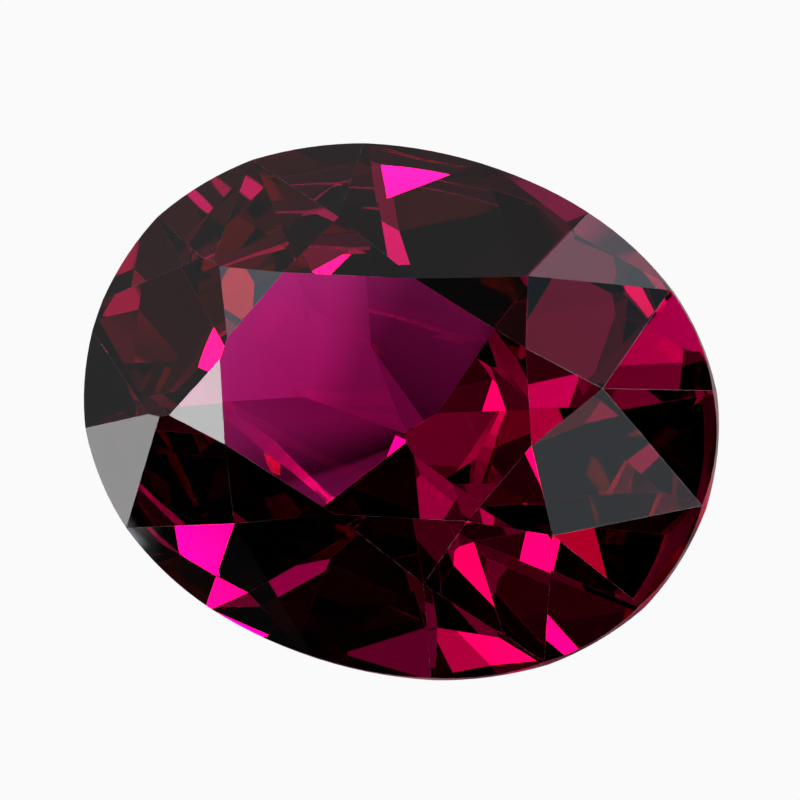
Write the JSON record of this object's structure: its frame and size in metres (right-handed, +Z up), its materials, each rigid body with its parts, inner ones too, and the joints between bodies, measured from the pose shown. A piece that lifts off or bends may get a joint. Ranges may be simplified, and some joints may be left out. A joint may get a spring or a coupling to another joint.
{
  "type": "oval faceted garnet",
  "caption": "Cut and polished oval garnet gemstone, deep purplish red and see-through, lying on one of its lower facets; for setting in jewellery or showing loose.",
  "frame": {"origin": "centre of the bounding box's bottom, on the surface the stone lies on", "axes": "+X along the oval's long axis, +Z up; the table leans 40 degrees from level, towards -Y"},
  "size_m": [0.01, 0.0062, 0.0052],
  "materials": {
    "garnet": "polished, transparent, deep purplish red"
  },
  "bodies": {
    "root": {"faceted_garnet": "garnet"}
  },
  "joints": []
}
